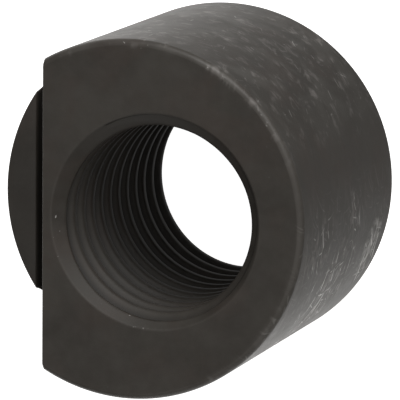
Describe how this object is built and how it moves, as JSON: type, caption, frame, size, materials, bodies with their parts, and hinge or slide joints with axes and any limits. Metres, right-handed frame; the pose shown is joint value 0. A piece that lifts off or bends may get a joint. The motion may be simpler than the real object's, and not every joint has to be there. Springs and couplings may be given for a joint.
{
  "type": "round eccentric nut with one flat",
  "caption": "Round blackened-steel nut with one milled flat that ends at a full-round collar, and an off-centre threaded hole right through it.",
  "frame": {"origin": "middle of the lower end face, on the axis of the round outside", "axes": "+Z along the round outside's axis and away from the collar's end face; -X out of the flat; +X is where the threaded hole is moved off centre"},
  "size_m": [0.04, 0.04, 0.036],
  "materials": {
    "black_steel": "matte"
  },
  "bodies": {
    "root": {"nut": "black_steel"}
  },
  "joints": []
}
